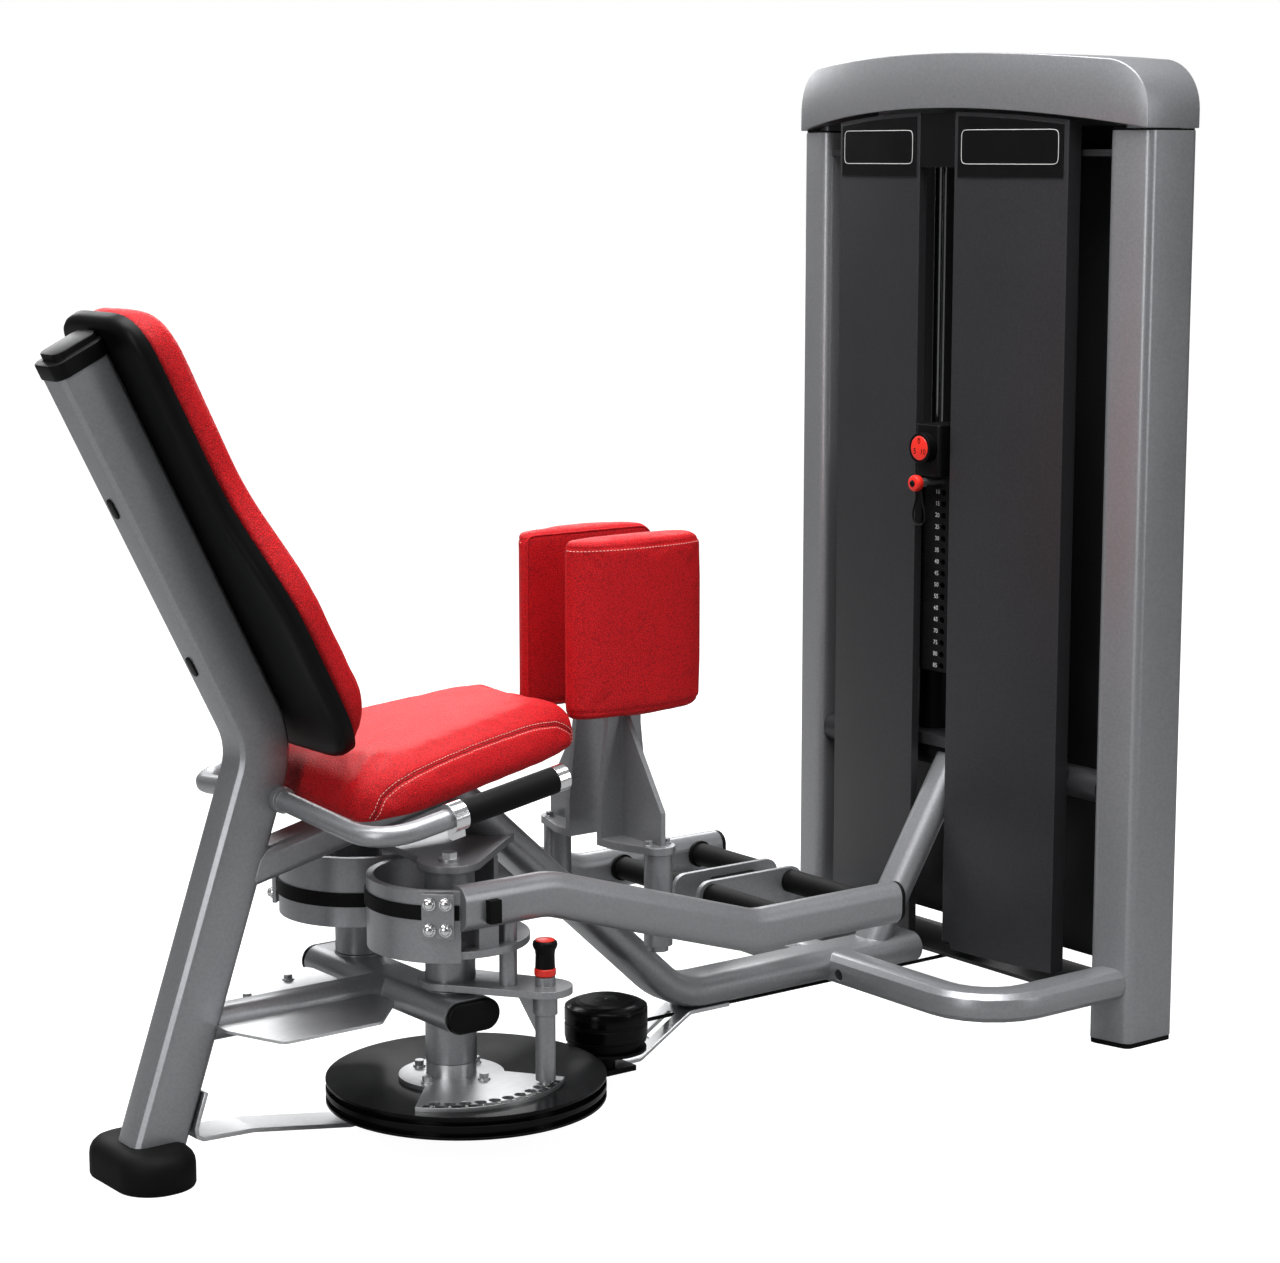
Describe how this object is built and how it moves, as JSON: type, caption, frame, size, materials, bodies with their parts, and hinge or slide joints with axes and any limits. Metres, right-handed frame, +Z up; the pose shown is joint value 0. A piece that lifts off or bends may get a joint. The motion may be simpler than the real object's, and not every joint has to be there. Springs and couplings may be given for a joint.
{
  "type": "hip abductor machine",
  "caption": "Seated hip abduction and adduction machine: reclined red seat, geared swinging leg arms with thigh pads and foot rollers, range limiter disc, and a shrouded weight stack tower.",
  "frame": {"origin": "centre of the bounding box on the floor", "axes": "+X from the seat to the tower, +Y to the user's left, +Z up"},
  "size_m": [1.7009, 0.789, 1.52],
  "materials": {
    "frame_paint": "satin metallic grey powder coat",
    "tower_paint": "satin dark grey powder coat",
    "black_plastic": "fine-grained moulding",
    "rubber": "matt",
    "leatherette": "fine-grained red upholstery",
    "steel": "brushed",
    "chrome": "polished",
    "iron": "black paint",
    "placard": "printed sheet, left bare"
  },
  "bodies": {
    "frame": {"rear_upright": "frame_paint", "rear_foot": "rubber", "upright_cap": "black_plastic", "back_shell": "black_plastic", "back_pad": "leatherette", "seat_pad": "leatherette", "seat_base": "black_plastic", "main_frame": "frame_paint", "handles": "frame_paint", "grips": "rubber", "grip_collars": "chrome", "hub_plate": "frame_paint", "spindles": "steel", "lower_frame": "frame_paint", "cross_caps": "black_plastic", "guard_wings": "black_plastic", "frame_bolts": "steel", "tie_strap": "frame_paint", "columns": "frame_paint", "column_feet": "rubber", "crown": "frame_paint", "front_shrouds": "tower_paint", "rear_panels": "tower_paint", "placards": "placard", "stack_frame": "frame_paint", "guide_rods": "chrome", "stack_bumpers": "rubber", "weight_plates": "iron", "cable_run": "black_plastic", "lift_cable": "black_plastic", "redirect_bracket": "black_plastic", "pulley_brackets": "steel"},
    "right_arm": {"arm_right": "frame_paint", "arm_cap_right": "black_plastic", "belt_right": "rubber", "clamp_right": "steel", "rollers_right": "rubber", "limiter_lever": "frame_paint", "foot_stop": "rubber"},
    "left_arm": {"arm_left": "frame_paint", "arm_cap_left": "black_plastic", "belt_left": "rubber", "clamp_left": "steel", "rollers_left": "rubber"},
    "disc": {"cam_disc": "tower_paint", "sector_plate": "steel"},
    "right_pad": {"bracket_right": "frame_paint", "pad_right": "leatherette"},
    "left_pad": {"bracket_left": "frame_paint", "pad_left": "leatherette"},
    "limiter_pin": {"pop_pin": "black_plastic"},
    "stack": {"head_plate": "iron", "addon_housing": "black_plastic"},
    "addon_dial": {"dial": "black_plastic"},
    "weight_pin": {"selector_pin": "steel"},
    "redirect_wheel": {"redirect_pulley": "black_plastic"},
    "foot_wheel": {"foot_pulley": "black_plastic"},
    "head_wheel": {"head_pulley": "black_plastic"}
  },
  "joints": [
    {"name": "right_arm_swing", "type": "hinge", "parent": "frame", "child": "right_arm", "pos_m": [-0.31755, -0.1195, 0.3], "axis": [0, 0, -1], "range_deg": [0, 45]},
    {"name": "left_arm_swing", "type": "hinge", "parent": "frame", "child": "left_arm", "pos_m": [-0.31755, 0.1195, 0.3], "axis": [0, 0, 1], "range_deg": [0, 45]},
    {"name": "disc_turn", "type": "hinge", "parent": "frame", "child": "disc", "pos_m": [-0.31755, -0.1195, 0.076], "axis": [0, 0, -1], "range_deg": [0, 45]},
    {"name": "right_pad_turn", "type": "hinge", "parent": "right_arm", "child": "right_pad", "pos_m": [0.04145, -0.126, 0.3], "axis": [0, 0, -1], "range_deg": [0, 180]},
    {"name": "left_pad_turn", "type": "hinge", "parent": "left_arm", "child": "left_pad", "pos_m": [0.04145, 0.126, 0.3], "axis": [0, 0, 1], "range_deg": [0, 180]},
    {"name": "limiter_pin_lift", "type": "slide", "parent": "right_arm", "child": "limiter_pin", "axis": [0, 0, 1], "range_m": [0, 0.022], "stiffness_N_per_m": 400, "springref_m": -0.01},
    {"name": "stack_lift", "type": "slide", "parent": "frame", "child": "stack", "axis": [0, 0, 1], "range_m": [0, 0.152], "deforming": ["lift_cable"]},
    {"name": "addon_dial_turn", "type": "hinge", "parent": "stack", "child": "addon_dial", "pos_m": [0.67145, 0, 0.906], "axis": [-1, 0, 0], "range_deg": [0, 270]},
    {"name": "weight_pin_pull", "type": "slide", "parent": "stack", "child": "weight_pin", "axis": [-1, 0, 0], "range_m": [0, 0.07]},
    {"name": "redirect_wheel_turn", "type": "hinge", "parent": "frame", "child": "redirect_wheel", "pos_m": [-0.00055, -0.054, 0.068], "axis": [0, 0, 1], "range_deg": [0, 160]},
    {"name": "foot_wheel_turn", "type": "hinge", "parent": "frame", "child": "foot_wheel", "pos_m": [0.80245, 0, 0.106], "axis": [0, 1, 0], "range_deg": [0, 230]},
    {"name": "head_wheel_turn", "type": "hinge", "parent": "frame", "child": "head_wheel", "pos_m": [0.80245, 0, 1.376], "axis": [0, 1, 0], "range_deg": [0, 230]}
  ],
  "couplings": [
    {"joint": "left_arm_swing", "follows": "right_arm_swing", "ratio": 1},
    {"joint": "disc_turn", "follows": "right_arm_swing", "ratio": 1},
    {"joint": "stack_lift", "follows": "right_arm_swing", "m_per_rad": 0.191},
    {"joint": "redirect_wheel_turn", "follows": "right_arm_swing", "ratio": 3.537},
    {"joint": "foot_wheel_turn", "follows": "right_arm_swing", "ratio": 5.0263},
    {"joint": "head_wheel_turn", "follows": "right_arm_swing", "ratio": 5.0263}
  ]
}
